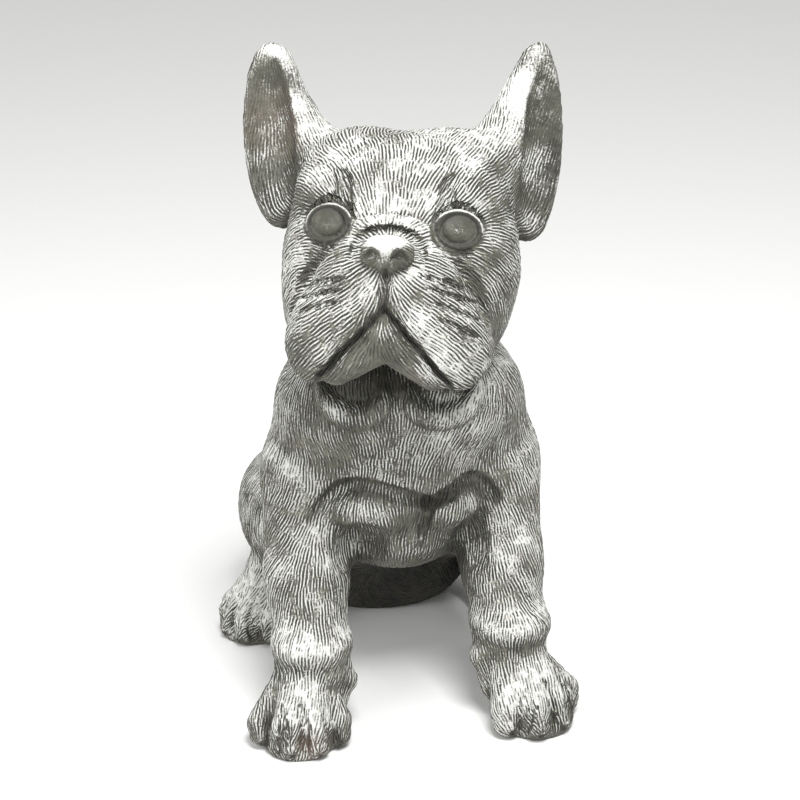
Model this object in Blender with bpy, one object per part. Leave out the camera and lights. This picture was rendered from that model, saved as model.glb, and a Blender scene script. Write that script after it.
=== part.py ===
"""Sitting bulldog garden statue, cast in one piece of stone, about 380 mm tall.

The dog faces -Y and +Z is up. The origin is on the ground, at the middle of the statue's outline.
The figure is built as clay is: rounded masses are pressed together, fused with a voxel Remesh,
drawn onto the smooth blend of the same masses, carved, and thinned with a Decimate modifier.
"""

from concurrent.futures import ThreadPoolExecutor

import bmesh
import bpy
import numpy as np
from mathutils import Euler, Matrix, Vector

# Driving dimensions, in metres.
STATUE_HEIGHT = 0.378
FINE_CLAY = 0.0020
MOST_TRIANGLES = 9400
SHARP_ANGLE = 1.0
STONE_COLOUR = (0.36, 0.35, 0.31, 1.0)
STONE_ROUGHNESS = 0.85

# The pose and carving are given in parts of the height: one part is about a millimetre on the real statue.
PARTS_IN_HEIGHT = 379
PART = STATUE_HEIGHT / PARTS_IN_HEIGHT

# Where the head sits and how it is turned: nose up, towards the dog's right, and a little to one side.
HEAD_PLACE = (3, -64, 272)
HEAD_PITCH = -20
HEAD_YAW = -16
HEAD_ROLL = 1.5

# The box that the form is worked out in, how far off a mass is still felt, and a distance beyond all of it.
LOWEST = (-130, -185, -30)
HIGHEST = (130, 155, 400)
MARGIN = 6
FAR = 1e3
REACH = 120
TRACE_STEPS = 24

# The four toes of a paw, from the inner to the outer: how far outward, ahead and up, and how thick.
TOES = ((-18.5, -9, 15, 8.8), (-4.5, -16, 17, 9.2), (10, -12, 17, 9), (21, 4, 14, 7.6))

LEFT = -1
RIGHT = 1
SIDES = (LEFT, RIGHT)


class Clay:
    """An ordered list of masses that are added or cut, each with how softly it blends."""

    def __init__(self):
        self.masses = []
        self.place = Matrix.Identity(4)

    def set_place(self, origin=(0, 0, 0), turn=(0, 0, 0), inside=None):
        """Gives the frame of the masses that follow, in parts and degrees."""
        angles = [np.radians(a) for a in turn]
        place = Matrix.Translation(Vector(origin)) @ Euler(angles, "XYZ").to_matrix().to_4x4()
        self.place = (inside or Matrix.Identity(4)) @ place
        return self.place

    def ball(self, centre, radii, soft, turn=(0, 0, 0), cut=False):
        """An ellipsoid, turned by degrees about its own centre."""
        angles = [np.radians(a) for a in turn]
        place = self.place @ Matrix.Translation(Vector(centre)) @ Euler(angles, "XYZ").to_matrix().to_4x4()
        self.masses.append(("ball", place, radii, soft, cut))

    def limb(self, start, end, start_radius, end_radius, soft, flat=1.0, cut=False):
        """A tapered, round-ended rod. flat squeezes it along the frame's Y."""
        ends = (Vector(start), Vector(end), start_radius, end_radius, flat)
        self.masses.append(("limb", self.place.copy(), ends, soft, cut))

    def roll(self, points, radii, soft, cut=False):
        """A fold or a groove along several points, as a chain of limbs."""
        for i in range(len(points) - 1):
            self.limb(points[i], points[i + 1], radii[i], radii[i + 1], soft, cut=cut)

    def laid(self, spots, sink, evened=0):
        """Spots given as (x, z), moved along the frame's Y onto the clay so far, evened out and sunk in."""
        points = np.array([(x, -REACH, z) for x, z in spots], float)
        turned = np.array(self.place)
        for _ in range(TRACE_STEPS):
            seen = points @ turned[:3, :3].T + turned[:3, 3]
            points[:, 1] += np.clip(form_at(seen, self.masses), -REACH, REACH / 4)
            points[:, 1] = np.clip(points[:, 1], -REACH, 0)
        for _ in range(evened):
            points[1:-1, 1] = (points[:-2, 1] + points[1:-1, 1] + points[2:, 1]) / 3
        points[:, 1] += sink
        return [tuple(point) for point in points]

    def groove(self, spots, radii, soft, sink=0.0, evened=0):
        self.roll(self.laid(spots, sink, evened), radii, soft, cut=True)

    def fold(self, spots, radii, soft, sink=0.0, evened=0):
        self.roll(self.laid(spots, sink, evened), radii, soft)


def curve(spots, pieces):
    """A smooth curve through a few spots, as many more spots (Catmull-Rom)."""
    ends = [2 * np.array(spots[0]) - np.array(spots[1])] + [np.array(spot, float) for spot in spots]
    ends.append(2 * ends[-1] - ends[-2])
    smooth = []
    for i in range(pieces + 1):
        along = min(i / pieces * (len(spots) - 1), len(spots) - 1 - 1e-9)
        k, t = int(along), along - int(along)
        a, b, c, d = ends[k:k + 4]
        smooth.append(tuple((2 * b + (c - a) * t + (2 * a - 5 * b + 4 * c - d) * t**2 + (3 * b - a - 3 * c + d) * t**3) / 2))
    return smooth


def swelling(least, most, pieces):
    """Radii that swell from least at both ends to most in the middle."""
    return [least + (most - least) * np.sin(np.pi * i / pieces) ** 0.5 for i in range(pieces + 1)]


def in_frame(points, place):
    """Points as seen from inside a frame."""
    inverse = np.array(place.inverted())
    return points @ inverse[:3, :3].T + inverse[:3, 3]


def ball_distance(points, radii):
    radii = np.array(radii, float)
    near = np.linalg.norm(points / radii, axis=1)
    far = np.linalg.norm(points / radii**2, axis=1)
    return near * (near - 1) / np.maximum(far, 1e-9)


def limb_distance(points, ends):
    start, end, start_radius, end_radius, flat = ends
    squeeze = np.array([1, 1 / flat, 1])
    a = np.array(start) * squeeze
    along = np.array(end) * squeeze - a
    offset = points * squeeze - a
    share = np.clip(offset @ along / max(along @ along, 1e-9), 0, 1)
    reach = np.linalg.norm(offset - share[:, None] * along, axis=1)
    return (reach - (start_radius + share * (end_radius - start_radius))) * min(1, flat)


def blend(first, second, soft):
    """The smaller of two distances, with the crease between them filled over a width of soft."""
    mix = np.maximum(soft - np.abs(first - second), 0) / soft
    return np.minimum(first, second) - mix * mix * soft / 4


def reach_of(kind, place, shape):
    """The middle and radius of a sphere that holds a mass."""
    if kind == "ball":
        return np.array(place.translation), max(shape)
    start, end, start_radius, end_radius, flat = shape
    middle = place @ ((start + end) / 2)
    radius = (end - start).length / 2 + max(start_radius, end_radius) * max(1, flat)
    return np.array(middle), radius


def pressed(distance, points, mass):
    """The distances after one more mass is added to the blend or cut from it."""
    kind, place, shape, soft, cut = mass
    seen = in_frame(points, place)
    piece = ball_distance(seen, shape) if kind == "ball" else limb_distance(seen, shape)
    if cut:
        return -blend(-distance, piece, soft)
    return blend(distance, piece, soft)


def form_at(points, masses):
    """The distance from each point to the surface of the blended masses, in parts."""
    distance = np.full(len(points), FAR)
    for mass in masses:
        middle, radius = reach_of(*mass[:3])
        near = np.linalg.norm(points - middle, axis=1) < radius + mass[3] + MARGIN
        if near.any():
            distance[near] = pressed(distance[near], points[near], mass)
    return distance


def shared_form(points, masses):
    """The same as form_at, with the points shared out among the processors."""
    with ThreadPoolExecutor() as pool:
        return np.concatenate(list(pool.map(lambda some: form_at(some, masses), np.array_split(points, 16))))


def form_in_box(masses, low, counts, cell):
    """The same distance at the corners of a box of cells, worked out mass by mass."""
    distance = np.full(counts, FAR)
    for mass in masses:
        middle, radius = reach_of(*mass[:3])
        radius += mass[3] + MARGIN
        first = np.clip(np.floor((middle - radius - low) / cell), 0, counts).astype(int)
        last = np.clip(np.ceil((middle + radius - low) / cell) + 1, 0, counts).astype(int)
        if (last <= first).any():
            continue
        spans = [low[i] + cell * np.arange(first[i], last[i]) for i in range(3)]
        points = np.stack(np.meshgrid(*spans, indexing="ij"), axis=-1).reshape(-1, 3)
        box = tuple(slice(first[i], last[i]) for i in range(3))
        shape = distance[box].shape
        distance[box] = pressed(distance[box].ravel(), points, mass).reshape(shape)
    return distance


def skin_of(masses, cell):
    """A closed skin of quads: one vertex in each cell that the surface passes through."""
    low = np.array(LOWEST, float)
    counts = np.ceil((np.array(HIGHEST) - low) / cell).astype(int)
    distance = form_in_box(masses, low, counts, cell)
    inside = distance < 0
    cells = tuple(counts - 1)
    corners = [(i, j, k) for i in (0, 1) for j in (0, 1) for k in (0, 1)]
    held = np.zeros(cells, int)
    for i, j, k in corners:
        held += inside[i:i + cells[0], j:j + cells[1], k:k + cells[2]]
    crossed = (held > 0) & (held < 8)
    where = np.argwhere(crossed)
    numbers = np.full(cells, -1)
    numbers[crossed] = np.arange(len(where))
    total = np.zeros((len(where), 3))
    hits = np.zeros(len(where))
    for axis in range(3):
        for corner in corners:
            if corner[axis]:
                continue
            start = where + corner
            end = start.copy()
            end[:, axis] += 1
            a = distance[tuple(start.T)]
            b = distance[tuple(end.T)]
            cut = (a < 0) != (b < 0)
            share = a[cut] / (a[cut] - b[cut])
            place = start[cut].astype(float)
            place[:, axis] += share
            total[cut] += place
            hits[cut] += 1
    vertices = low + cell * total / hits[:, None]
    faces = []
    for axis in range(3):
        one, two = (axis + 1) % 3, (axis + 2) % 3
        ahead = np.roll(inside, -1, axis)
        edge = np.argwhere(inside != ahead)
        edge = edge[(edge[:, axis] < counts[axis] - 1) & (edge[:, one] > 0) & (edge[:, two] > 0)]
        leaving = inside[tuple(edge.T)]
        ring = []
        for step_one, step_two in ((1, 1), (0, 1), (0, 0), (1, 0)):
            near = edge.copy()
            near[:, one] -= step_one
            near[:, two] -= step_two
            ring.append(numbers[tuple(near.T)])
        quads = np.stack(ring, axis=1)
        quads[leaving] = quads[leaving][:, ::-1]
        faces.append(quads)
    data = bpy.data.meshes.new("skin")
    data.from_pydata(vertices.tolist(), [], np.concatenate(faces).tolist())
    data.update()
    return data


def torso(clay):
    """Ribcage, belly, rump and the solid plug that the body sits on."""
    clay.set_place()
    clay.ball((4.5, -18, 150), (58, 62, 84), 20)
    clay.ball((2, 66, 84), (57, 60, 74), 22)
    clay.ball((5, 26, 124), (44, 64, 76), 22, turn=(-38, 0, 0))
    clay.ball((15, 74, 26), (60, 48, 40), 12)
    for side in SIDES:
        clay.ball((side * 42 + 6.5, -42, 146), (33, 42, 58), 16)


def neck(clay):
    clay.set_place()
    clay.limb((7, -14, 178), (6, -42, 248), 52.5, 46, 24)
    clay.ball((4, -66, 196), (46, 42, 32), 14)


def front_leg(clay, side, shift, shoulder):
    """Upper arm, forearm, wrist and dewclaw, down to the paw."""
    clay.set_place((shift, 0, 0))
    clay.limb((side * 56 + shoulder, -52, 138), (side * 57.5, -74, 84), 26, 23, 14)
    clay.limb((side * 57.5, -74, 84), (side * 58, -99, 38), 23, 20, 8)
    clay.ball((side * 58.5, -98, 54 + side), (22.5, 22, 12), 7)
    clay.limb((side * 46, -99, 46 + side * 4), (side * 38.5, -103, 35 + side * 4), 6.5, 5, 5)
    clay.limb((side * 40, -102, 33 + side * 4), (side * 46, -106, 20), 5, 7, 5)


def chest(clay):
    """The breast between the legs: a keel, two pectorals, the ruff above them, and the hollow armpits."""
    clay.set_place()
    clay.ball((3, -52, 110), (41, 41, 31), 12)
    clay.ball((6, -60, 146), (47, 42, 30), 12)
    clay.ball((-14, -65, 128), (31, 37, 19), 4)
    clay.ball((25, -64, 127), (24, 37, 20), 4)
    clay.ball((-25, -101, 104), (18, 26, 21), 2.5, cut=True)
    clay.ball((38, -101, 103), (13, 24, 20), 2.5, cut=True)
    clay.ball((44, -114, 130), (11, 15, 14), 6, turn=(0, -20, 0), cut=True)
    clay.ball((-18, -58, 184), (48, 45, 37), 14)
    clay.ball((27, -58, 184), (46, 45, 36), 14)
    clay.ball((12, -66, 164), (28, 36, 26), 12)
    left_edge = curve([(-52, 124), (-38, 141), (-24, 145.5), (-6, 142), (12, 134.5)], 14)
    right_edge = curve([(12, 134.5), (24, 140), (36, 144.5), (47, 138), (54, 127)], 12)
    clay.groove(left_edge, np.linspace(1.2, 2.6, 15), 5, evened=3)
    clay.groove(right_edge, np.linspace(2.6, 1.4, 13), 5, evened=3)
    clay.groove([(12, 135), (12.5, 128), (11, 117), (8, 104)], (1.6, 1.8, 1.6, 1.0), 3)


def dewlap(clay):
    """Two hanging folds of skin under the throat, each a crescent."""
    clay.set_place()
    for middle, across, drop in ((-30, 16, 15), (19, 20, 17)):
        angles = np.radians(np.linspace(185, 355, 9))
        spots = [(middle + across * np.cos(a), 206 + drop * np.sin(a)) for a in angles]
        clay.fold(spots, (3, 4, 5, 5.5, 6, 5.5, 5, 4, 3), 4)


def paw(clay, side, centre, turn, size, wrist):
    """A paw with four toes, pointing to -Y of its own frame. wrist is how far in the leg comes down on it."""
    clay.set_place(centre, (0, 0, turn))
    clay.limb((-side * wrist, 19 * size, 36 * size), (0, 4 * size, 13 * size), 15 * size, 16 * size, 8 * size)
    clay.ball((0, 6 * size, 9 * size), (21 * size, 21 * size, 12 * size), 8)
    clay.ball((side * size, -3 * size, 3 * size), (20 * size, 18 * size, 9 * size), 3)
    toes = [(side * outward * size, ahead * size, high * size, thick * size) for outward, ahead, high, thick in TOES]
    for across, ahead, high, thick in toes:
        root = (across * 0.45 - side * wrist * 0.6, ahead * 0.5 + 14 * size, high + 16 * size)
        clay.limb(root, (across, ahead + 2 * size, high), thick + size, thick, 3)
        clay.limb((across, ahead + 2 * size, high), (across * 1.03, ahead, 8 * size), thick, thick - 0.8 * size, 2)
    for near, far in zip(toes, toes[1:]):
        across = (near[0] + far[0]) / 2
        spots = [(across * 0.8, 29 * size), (across * 0.9, 21 * size), (across * 1.02, 12 * size), (across * 1.05, 5)]
        clay.groove(spots, (1.0 * size, 1.9 * size, 2.1 * size, 1.2 * size), 2.5)


def hind_leg(clay, side, shift):
    clay.set_place()
    clay.ball((side * 48.5 + 1, 52, 70), (31, 47, 40), 10, turn=(-14, 0, 0))
    clay.limb((side * 62 + shift, 50, 28), (side * 70 + shift, 34, 18), 15, 13, 8)


def skull(clay):
    """Cranium, forehead, brows and cheeks."""
    clay.ball((0, 2, 12), (56, 54, 52), 20)
    for side in SIDES:
        clay.ball((side * 25 + 1.5, -8, 33.5 + side), (34, 38, 33), 12)
        clay.ball((side * 36 + 2, -16, -9), (28.5, 36, 41), 14)
        clay.ball((side * 34, -20, -34), (24.5, 32, 30), 10)
        clay.ball((side * 33, -34, 29), (20, 15, 13), 12)
    clay.ball((3, -38, 35), (24, 18, 24), 14)
    clay.ball((0, -42, 4), (40, 18, 28), 10)


def muzzle(clay):
    """The broad shield of the muzzle and the hanging upper lips."""
    for side in SIDES:
        clay.ball((side * 15, -57, -17), (23, 23, 24), 8)
        clay.ball((side * 30 + 1, -49, -37), (18.5, 26, 33), 8, turn=(0, -side * 38, 0))
        lip = [(side * 4.5, -70, -27), (side * 18, -65.5, -42), (side * 30, -58.5, -55), (side * 38.5, -52, -63)]
        clay.roll(lip, (7.5, 8.5, 9.5, 10.5), 8)
    arch = [(-26, -56, -5), (-19, -62, 4), (-9, -65, 7.5), (0, -66, 8.5), (9, -65, 7.5), (19, -62, 4), (26, -56, -5)]
    clay.roll(arch, (6, 6.5, 6.5, 6.5, 6.5, 6.5, 6), 4)


def jaw(clay):
    """The lower lip, an arch that fills the space between the upper lips."""
    clay.limb((0, -50, -34), (0, -57, -46), 15, 14, 1.5)
    for side in SIDES:
        clay.limb((0, -57, -45), (side * 26, -50, -64), 14.5, 10.5, 2)
    for side in SIDES:
        spots = [(side * (1 + 4 * i), -34.5 - 4.3 * i) for i in range(9)]
        clay.roll(clay.laid(spots, -0.3, 4), [1.7 + 0.08 * i for i in range(9)], 1.5, cut=True)


def eye(clay, place, side):
    """A blank eyeball in a shallow socket, and the rolled rims of the two lids."""
    clay.set_place(inside=place)
    x, z = side * 34, 10
    centre, outer, top, bottom = (point[1] for point in clay.laid([(x, z), (x + side * 11, z), (x, z + 9), (x, z - 9)], 0))
    middle = centre + 0.6
    lean = 0.7 * (outer - centre) * side
    tilt = 0.35 * (top - bottom)
    turn = (0, 0, side * 25)
    clay.ball((x, middle - 6.2, z), (14, 8, 12), 4, turn=turn, cut=True)
    clay.ball((x, middle + 4.8, z), (11.6, 7, 9.6), 1, turn=turn)
    steps = 20
    ring = []
    for i in range(steps + 1):
        along, up = np.cos(2 * np.pi * i / steps), np.sin(2 * np.pi * i / steps)
        ring.append((x + 11.2 * along, middle + lean * along + tilt * up, z + 9.2 * up))
    for i in range(steps):
        rim = 1.7 if i < steps / 2 else 1.2
        clay.limb(ring[i], ring[i + 1], rim, rim, 1)


def nose(clay):
    """A broad pad above, two comma-shaped nostrils, and a narrow pillar between them."""
    clay.ball((0, -78, -2.5), (13.5, 11, 7), 1.5)
    clay.ball((0, -77.5, -8.5), (8, 9, 7), 2.5)
    for side in SIDES:
        clay.ball((side * 8.5, -78.5, -7), (5, 7.5, 5), 1.5)
        clay.groove([(side * 4, -8), (side * 7.5, -6.5), (side * 11, -9)], (1.5, 2.2, 1.3), 1, sink=0.6)
    clay.groove([(0, -8), (0, -12), (0, -17)], (0.6, 0.8, 1.2), 1.5)


def creases(clay):
    """Folds of the face: brows, the roll over the nose, the edge of the muzzle, the parting of the lips."""
    clay.groove([(0, -19), (0, -25), (0, -33)], (1.5, 1.8, 2.2), 3)
    over_nose = curve([(-19, -8), (-15, 3), (0, 7.5), (15, 3), (19, -8)], 12)
    clay.groove(over_nose, swelling(0.8, 1.8, 12), 2, evened=1)
    for side in SIDES:
        brow = curve([(side * 31, 38), (side * 27.5, 33), (side * 27, 25), (side * 23, 16)], 8)
        clay.groove(brow, swelling(0.8, 2, 8), 4, evened=1)
        edge = curve([(side * 24, 6), (side * 31, -3), (side * 41, -14), (side * 49, -28), (side * 53.5, -42)], 12)
        clay.groove(edge, swelling(1.2, 2.6, 12), 4, evened=1)


def ear(clay, place, side, turn, lean, length, tip, flare):
    """A tall cupped ear: a leaf with a thick back and a hollow scooped out of its front."""
    clay.set_place((side * 67, 4, 22), (0, side * lean, turn), place)
    top = length - tip
    steps = 8
    heights = [top * i / steps for i in range(steps + 1)]
    widths = [13 + 19 * i / steps - (32 - tip) * (i / steps) ** 2 for i in range(steps + 1)]
    bend = [side * 1.2 * np.sin(np.pi * 0.8 * i / steps) for i in range(steps + 1)]
    for i in range(steps):
        low, high = (bend[i], 0, heights[i]), (bend[i + 1], 0, heights[i + 1])
        clay.limb(low, high, widths[i], widths[i + 1], 3, flat=0.52)
    clay.limb((-side * 25, 6, 22), (-side * 13, 5, 44), 18.5, flare, 8)
    clay.limb((-side * 13, 5, 44), (-side * 3, 3, top - 2), flare, tip * 0.7, 4)
    for i in range(steps):
        low, high = (bend[i] + side, -11, heights[i] + 3), (bend[i + 1] + side, -11, heights[i + 1] + 3)
        clay.limb(low, high, widths[i] - 3.2, widths[i + 1] - 3.2, 2.5, flat=0.8, cut=True)


def bulldog():
    """All the masses of the statue, in the order they are pressed on."""
    clay = Clay()
    head_place = clay.set_place(HEAD_PLACE, (0, 0, HEAD_YAW)).copy()
    head_place = head_place @ Euler((np.radians(HEAD_PITCH), 0, 0)).to_matrix().to_4x4()
    head_place = head_place @ Euler((0, np.radians(HEAD_ROLL), 0)).to_matrix().to_4x4()
    torso(clay)
    neck(clay)
    front_leg(clay, LEFT, 3.5, 2.5)
    front_leg(clay, RIGHT, 3, 1.5)
    chest(clay)
    dewlap(clay)
    paw(clay, LEFT, (-65, -116.5, 0), 8, 1.0, 9)
    paw(clay, RIGHT, (70.5, -118, 0), 8, 1.04, 7)
    hind_leg(clay, LEFT, 1)
    hind_leg(clay, RIGHT, 18)
    paw(clay, LEFT, (-74, 22, 0), -42, 0.94, 0)
    paw(clay, RIGHT, (88, 25, 0), 42, 0.88, 0)
    clay.set_place(inside=head_place)
    skull(clay)
    muzzle(clay)
    nose(clay)
    creases(clay)
    jaw(clay)
    for side in SIDES:
        eye(clay, head_place, side)
    ear(clay, head_place, LEFT, -12, 8, 90, 10, 10)
    ear(clay, head_place, RIGHT, 36, 1.5, 96, 7, 15)
    return clay.masses


def points_of(data):
    points = np.empty(len(data.vertices) * 3, np.float32)
    data.vertices.foreach_get("co", points)
    return points.reshape(-1, 3).astype(float)


def draw_onto(data, masses, rounds):
    """Moves every vertex along the slope of the form until it lies on its surface."""
    points = points_of(data)
    step = 0.4
    corners = np.array([(1, 1, 1), (1, -1, -1), (-1, 1, -1), (-1, -1, 1)], float)
    for _ in range(rounds):
        around = [shared_form(points + corner * step, masses) for corner in corners]
        away = sum(around)[:, None] / 4
        slope = sum(corner * value[:, None] for corner, value in zip(corners, around)) / (4 * step)
        length = np.linalg.norm(slope, axis=1)[:, None]
        move = -away * slope / np.maximum(length, 0.3) ** 2
        far = np.linalg.norm(move, axis=1)[:, None]
        points += move * np.minimum(1, 6 / np.maximum(far, 1e-9))
    data.vertices.foreach_set("co", points.astype(np.float32).ravel())
    data.update()


def outer_skin(data):
    """Keeps the largest connected skin and drops any bubble closed up inside the clay."""
    mesh = bmesh.new()
    mesh.from_mesh(data)
    left = set(mesh.verts)
    skins = []
    while left:
        found = {left.pop()}
        edge = list(found)
        while edge:
            near = {e.other_vert(v) for v in edge for e in v.link_edges} - found
            found |= near
            edge = list(near)
        left -= found
        skins.append(found)
    skins.sort(key=len)
    for skin in skins[:-1]:
        bmesh.ops.delete(mesh, geom=list(skin), context="VERTS")
    mesh.to_mesh(data)
    mesh.free()


def with_flat_soles(statue):
    """Cuts the soles and the seat off level with the ground and closes them with flat faces."""
    mesh = bmesh.new()
    mesh.from_mesh(statue.data)
    everything = mesh.verts[:] + mesh.edges[:] + mesh.faces[:]
    bmesh.ops.bisect_plane(mesh, geom=everything, dist=1e-6, plane_co=(0, 0, 0), plane_no=(0, 0, 1), clear_inner=True)
    bmesh.ops.holes_fill(mesh, edges=[e for e in mesh.edges if e.is_boundary])
    bmesh.ops.triangulate(mesh, faces=[f for f in mesh.faces if len(f.verts) > 3])
    bmesh.ops.recalc_face_normals(mesh, faces=mesh.faces[:])
    mesh.to_mesh(statue.data)
    mesh.free()


def applied(statue):
    """Applies the statue's modifiers to its mesh."""
    graph = bpy.context.evaluated_depsgraph_get()
    done = bpy.data.meshes.new_from_object(statue.evaluated_get(graph), depsgraph=graph)
    statue.modifiers.clear()
    statue.data = done


def evened(statue):
    """Remeshes the skin so that it is one even, closed surface."""
    even = statue.modifiers.new("even", "REMESH")
    even.mode = "VOXEL"
    even.voxel_size = FINE_CLAY / PART
    applied(statue)


def thinned(statue):
    """Leaves only as many triangles as the shape needs."""
    thin = statue.modifiers.new("thin", "DECIMATE")
    thin.ratio = min(1, MOST_TRIANGLES / (2 * len(statue.data.polygons)))
    applied(statue)


def centred(statue):
    """Moves the mesh so that the middle of its outline is over the origin, and gives it metres."""
    points = points_of(statue.data)
    middle = (points.min(axis=0) + points.max(axis=0)) / 2
    statue.data.transform(Matrix.Translation((-middle[0], -middle[1], 0)))
    statue.data.transform(Matrix.Diagonal((PART, PART, PART, 1)))


def stone():
    material = bpy.data.materials.new("cast_stone")
    material.use_nodes = True
    shader = material.node_tree.nodes["Principled BSDF"]
    shader.inputs["Base Color"].default_value = STONE_COLOUR
    shader.inputs["Roughness"].default_value = STONE_ROUGHNESS
    return material


def main():
    for old in list(bpy.data.objects):
        bpy.data.objects.remove(old)
    masses = bulldog()
    statue = bpy.data.objects.new("bulldog_statue", skin_of(masses, FINE_CLAY / PART))
    bpy.context.scene.collection.objects.link(statue)
    evened(statue)
    outer_skin(statue.data)
    draw_onto(statue.data, masses, 3)
    thinned(statue)
    with_flat_soles(statue)
    centred(statue)
    statue.data.materials.append(stone())
    statue.data.shade_smooth()
    statue.data.set_sharp_from_angle(angle=SHARP_ANGLE)


main()
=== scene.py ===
from concurrent.futures import ThreadPoolExecutor

import bpy
import numpy as np
from mathutils import Euler, Matrix, Vector


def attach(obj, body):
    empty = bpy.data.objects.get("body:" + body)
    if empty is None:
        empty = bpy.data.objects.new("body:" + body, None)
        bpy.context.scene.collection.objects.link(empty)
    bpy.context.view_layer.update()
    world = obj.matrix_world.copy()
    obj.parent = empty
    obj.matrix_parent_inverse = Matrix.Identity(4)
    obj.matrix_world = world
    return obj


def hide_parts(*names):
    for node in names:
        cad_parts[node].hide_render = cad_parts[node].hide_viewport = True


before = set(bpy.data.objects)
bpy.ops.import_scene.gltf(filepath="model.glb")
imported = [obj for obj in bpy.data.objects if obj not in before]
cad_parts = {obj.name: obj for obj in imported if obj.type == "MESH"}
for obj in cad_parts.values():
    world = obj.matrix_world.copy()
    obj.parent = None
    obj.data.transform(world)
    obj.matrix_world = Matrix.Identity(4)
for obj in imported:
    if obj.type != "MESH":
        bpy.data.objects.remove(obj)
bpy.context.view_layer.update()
bpy.ops.object.select_all(action="DESELECT")

# Statue
# The whole garden statue: a sitting bulldog puppy cast in one piece of stone, hollow nowhere. The coat, the
# claws and the folds of the face were cut in the mould, so they are part of the cast. It was painted dark
# olive, and a nearly dry brush of chalk white was drawn over it, which caught the ridges of the coat.
STATUE_HEIGHT = 0.378

SKIN_CELL = 0.0011
MOST_TRIANGLES = 197000
WELD = 1e-6

# The pose and carving are given in parts of the height: one part is about a millimetre on the real statue.
PARTS_IN_HEIGHT = 379
PART = STATUE_HEIGHT / PARTS_IN_HEIGHT

# The middle of the statue's outline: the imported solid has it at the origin.
OUTLINE_MIDDLE = (6.02, -15.18, 0)

# Where the head sits and how it is turned: nose up, towards the dog's right, and a little to one side.
HEAD_PLACE = (3, -64, 272)
HEAD_PITCH = -20
HEAD_YAW = -16
HEAD_ROLL = 1.5

LEFT = -1
RIGHT = 1
SIDES = (LEFT, RIGHT)

# The four toes of a paw, from the inner to the outer: how far outward, ahead and up, and how thick.
TOES = ((-18.5, -9, 15, 8.8), (-4.5, -16, 17, 9.2), (10, -12, 17, 9), (21, 4, 14, 7.6))

# Each paw: its side, where it stands, which way it points, its size, and how far in the leg comes down on it.
PAWS = ((LEFT, (-65, -116.5, 0), 8, 1.0, 9), (RIGHT, (70.5, -118, 0), 8, 1.04, 7),
        (LEFT, (-74, 22, 0), -42, 0.94, 0), (RIGHT, (88, 25, 0), 42, 0.88, 0))

# The two crescents of the dewlap: middle, half width and drop.
DEWLAPS = ((-30, 16, 15), (19, 20, 17))

# An eye, as seen from the head: how far out and up its middle is, and the half width and height of its rim.
EYE_OUT = 34
EYE_UP = 10
EYE_WIDTH = 11.2
EYE_HEIGHT = 9.2

# Round the eyes and the nose the mesh isn't thinned: middle and radius, as seen from the head.
KEPT_FINE = (((-34, -48, 10), 17), ((34, -48, 10), 17), ((0, -84, -5), 15))

# The whisker grooves: side, height, how far they fall, and where they begin and end.
WHISKERS = ((LEFT, -19, 5, 20, 46), (LEFT, -25, 6, 22, 48), (LEFT, -31, 7, 24, 47),
            (RIGHT, -16, 5, 18, 44), (RIGHT, -22, 6, 20, 48), (RIGHT, -29, 8, 24, 50),
            (RIGHT, -37, 9, 28, 50))

# How far off a mass is still felt, and distances beyond all of it.
MARGIN = 6
FAR = 1e3
REACH = 120
TRACE_STEPS = 24

# The size of the cells that points are sorted into, and how many points are worked on at a time.
CELL = 36
GROUP = 2500

# How far apart the distance to the clay is read to find its slope, and the longest move in one round.
SLOPE_STEP = 0.3
LONGEST_MOVE = 3
SKIN_ROUNDS = 2

# How far a combed place tells the hair around it which way to lie.
COMB_REACH = 20

# The locks of hair in the mesh and the fine strokes in the paint, in metres.
LOCK_LENGTH = 0.011
LOCK_WIDTH = 0.0042
LOCK_DEPTH = 0.00042
STROKE_LENGTH = 0.0050
STROKE_PITCH = 0.0018
STROKE_DEPTH = 0.00042

# The sizes of the paint's grain, of its pits and of its blotches, in metres.
GRAIN = 0.0010
PITS = 0.0032
BLOTCHES = 0.022

OLIVE = (0.085, 0.083, 0.062, 1)
GREY_OLIVE = (0.17, 0.165, 0.13, 1)
# The near black of painted shade in the hollows, the pits and the grooves of the strokes.
SHADE_OLIVE = (0.012, 0.0115, 0.009, 1)
BROWN = (0.19, 0.13, 0.095, 1)
CHALK = (0.78, 0.785, 0.75, 1)
CHALK_GREY = (0.56, 0.56, 0.525, 1)

# Where the brush left more or less chalk, and where the stone is brown: middle, radius and amount. Less chalk
# under the jaw, under the chest and on the belly is painted shade. The first list is as seen from the head.
CHALK_AND_SHADE_ON_HEAD = (((0, -84, 2), 16, 0.7), ((30, -62, -52), 22, 0.35), ((36, -55, -64), 20, 0.05),
                ((20, -70, -40), 18, 0.35), ((-30, -60, -52), 20, 0.2), ((0, -60, -62), 30, -0.3),
                ((2, -44, 36), 13, 0.12), ((4, -38, 52), 14, 0.12), ((-27, -42, 38), 13, 0.25),
                ((36, -40, 38), 13, 0.2), ((-13, -42, 32), 10, -0.4), ((-14, -38, 48), 11, -0.4),
                ((20, -42, 34), 11, -0.45), ((22, -37, 50), 12, -0.45), ((72, 0, 50), 24, 0.3))
CHALK_AND_SHADE_ON_BODY = (((-60, -130, 28), 26, 0.5), ((70, -132, 28), 26, 0.5), ((-58, -115, 50), 26, 0.45),
                ((60, -115, 55), 26, 0.2), ((-80, 18, 24), 30, 0.4), ((5, -90, 120), 34, -0.3),
                ((0, -100, 172), 45, 0.13), ((10, 40, 40), 60, -0.9), ((5, -60, 60), 60, -0.5))
BROWNED = (((-62, -134, 10), 16, 0.5), ((-64, -30, 340), 30, 0.4))


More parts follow.
